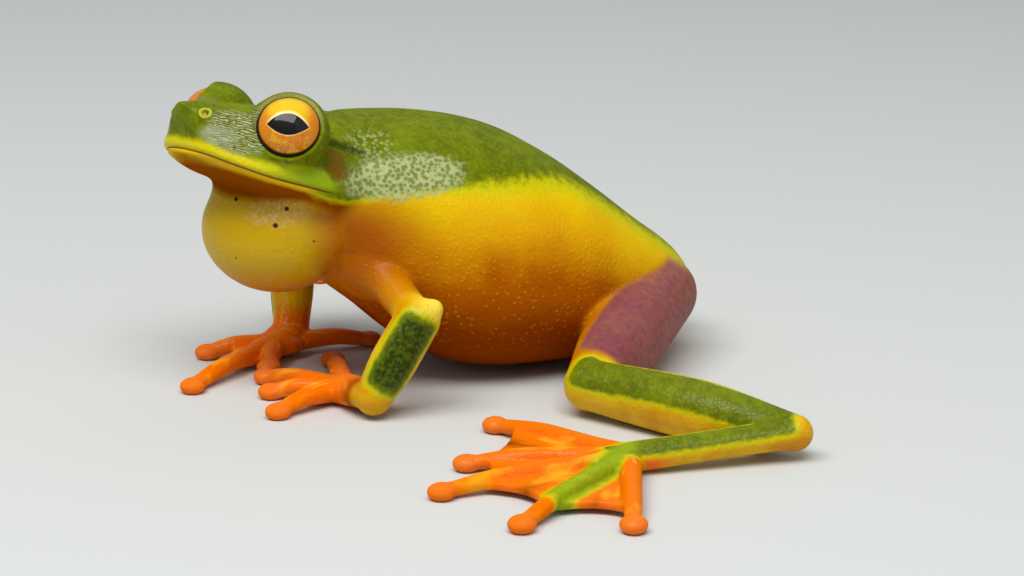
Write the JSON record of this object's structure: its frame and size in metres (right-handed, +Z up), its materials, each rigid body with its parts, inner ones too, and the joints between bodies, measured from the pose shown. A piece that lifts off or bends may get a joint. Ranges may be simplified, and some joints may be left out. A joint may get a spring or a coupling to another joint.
{
  "type": "dainty green tree frog",
  "caption": "Life-size still model of a calling green tree frog, sitting with its vocal sac full, parted at its neck and limb joints.",
  "frame": {"origin": "middle of the model's bounding box, on the floor that its hands and feet rest on", "axes": "-Y ahead along the body towards the snout, +X to the animal's left, +Z up"},
  "size_m": [0.085, 0.047, 0.024],
  "materials": {
    "green_skin": "moist, finely granular skin with a satin gloss",
    "yellow_skin": "moist, smooth to granular skin with a satin gloss",
    "orange_skin": "moist, smooth skin with a satin gloss",
    "violet_skin": "moist, smooth skin with a satin gloss",
    "eye": "wet, clear gloss over a golden iris"
  },
  "bodies": {
    "root": {"head": "green_skin", "torso": "green_skin", "vocal_sac": "yellow_skin", "eye_l": "eye", "eye_r": "eye", "upper_arm_l": "yellow_skin", "upper_arm_r": "yellow_skin", "forearm_l": "yellow_skin", "forearm_r": "yellow_skin", "hand_l": "orange_skin", "hand_r": "orange_skin", "thigh_l": "violet_skin", "thigh_r": "violet_skin", "shank_l": "yellow_skin", "shank_r": "yellow_skin", "tarsus_l": "yellow_skin", "tarsus_r": "yellow_skin", "foot_l": "orange_skin", "foot_r": "orange_skin"}
  },
  "joints": []
}
